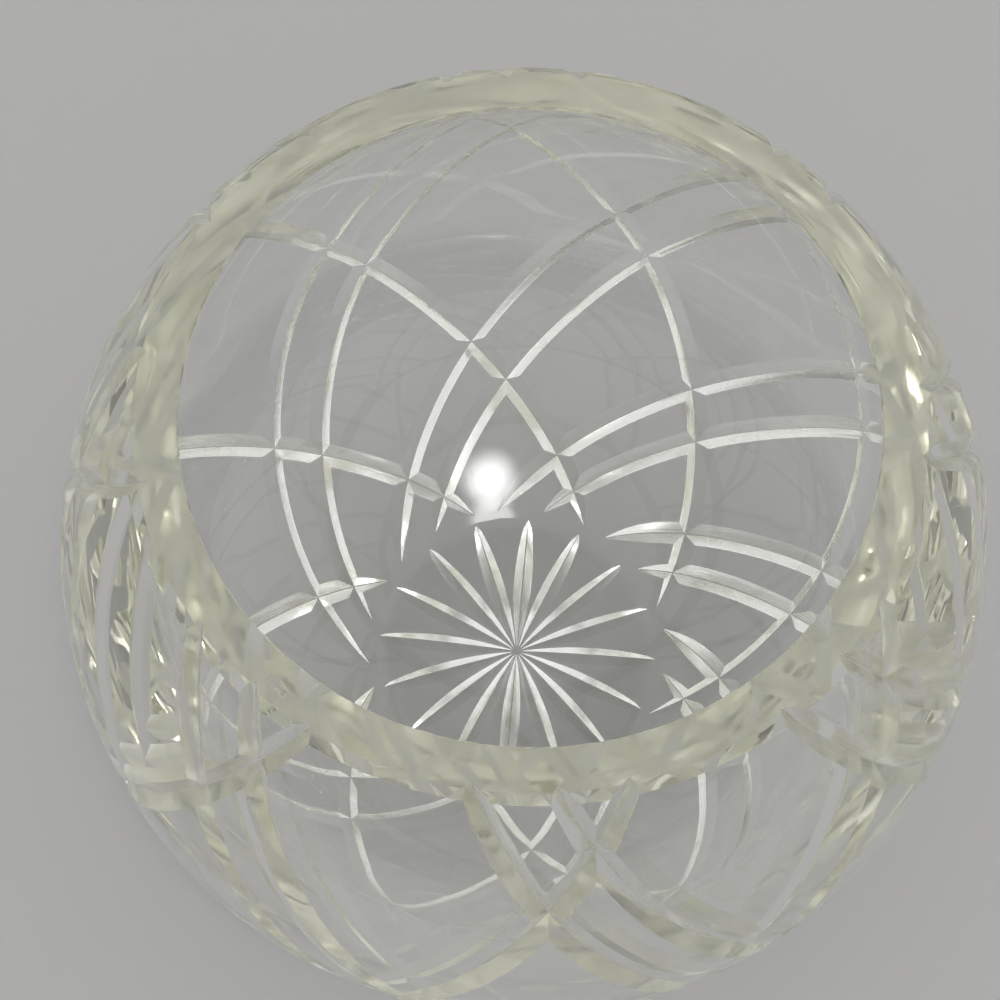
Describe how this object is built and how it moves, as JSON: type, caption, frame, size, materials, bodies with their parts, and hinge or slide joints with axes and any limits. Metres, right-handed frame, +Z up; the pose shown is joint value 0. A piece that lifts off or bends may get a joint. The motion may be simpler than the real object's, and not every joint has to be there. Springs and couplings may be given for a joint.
{
  "type": "rose bowl vase",
  "caption": "Round clear cut glass rose bowl with crossing mitre cuts, a wide flat ground rim and a star cut foot.",
  "frame": {"origin": "centre of the ground foot, on the surface that the bowl stands on", "axes": "+Z up through the mouth along the axis of the turned body; +X and +Y across the bowl, with a low point of the crossing cuts' pattern repeating every eighth of a turn"},
  "size_m": [0.153, 0.153, 0.115],
  "materials": {
    "crystal": "polished clear glass with a faint grey green tint, mitre cuts polished, rim ground flat and satin"
  },
  "bodies": {
    "root": {"bowl": "crystal"}
  },
  "joints": []
}
